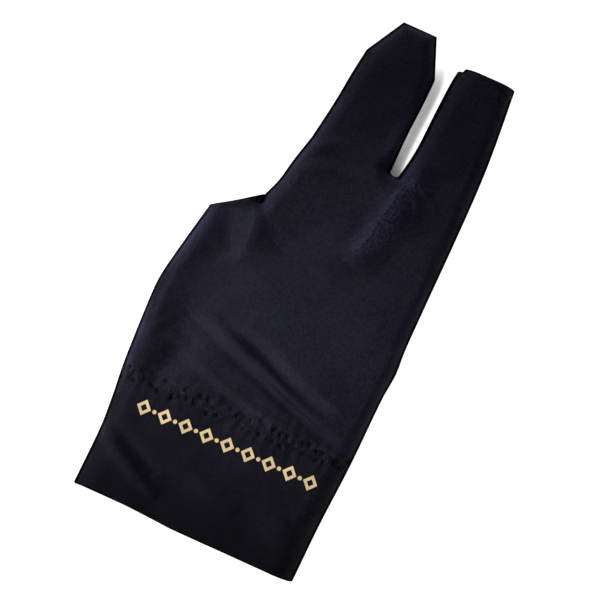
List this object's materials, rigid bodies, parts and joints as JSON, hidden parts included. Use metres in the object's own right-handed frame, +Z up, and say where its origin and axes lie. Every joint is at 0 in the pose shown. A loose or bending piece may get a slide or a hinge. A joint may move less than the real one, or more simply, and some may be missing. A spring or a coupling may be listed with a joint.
{
  "type": "billiard glove",
  "caption": "Soft stretch-knit billiard glove lying flat, with a wide doubled wrist cuff, an open thumb edge, a closed long finger stall and an open short one.",
  "frame": {"origin": "middle of the underside, on the surface that the glove lies on", "axes": "+X across the glove towards its folded edge, +Y from the wrist hem to the fingertips, +Z up out of the back of the hand"},
  "size_m": [0.1014, 0.22, 0.0099],
  "materials": {
    "knit": "fine black stretch knit with a faint violet cast and a soft sheen",
    "cuff_knit": null,
    "hem_knit": "black knit turned in and overlocked in black thread"
  },
  "bodies": {
    "root": {"glove_shell": "knit", "cuff_band": "cuff_knit", "thumb_opening_hem": "hem_knit", "short_stall_hem": "hem_knit"}
  },
  "joints": []
}
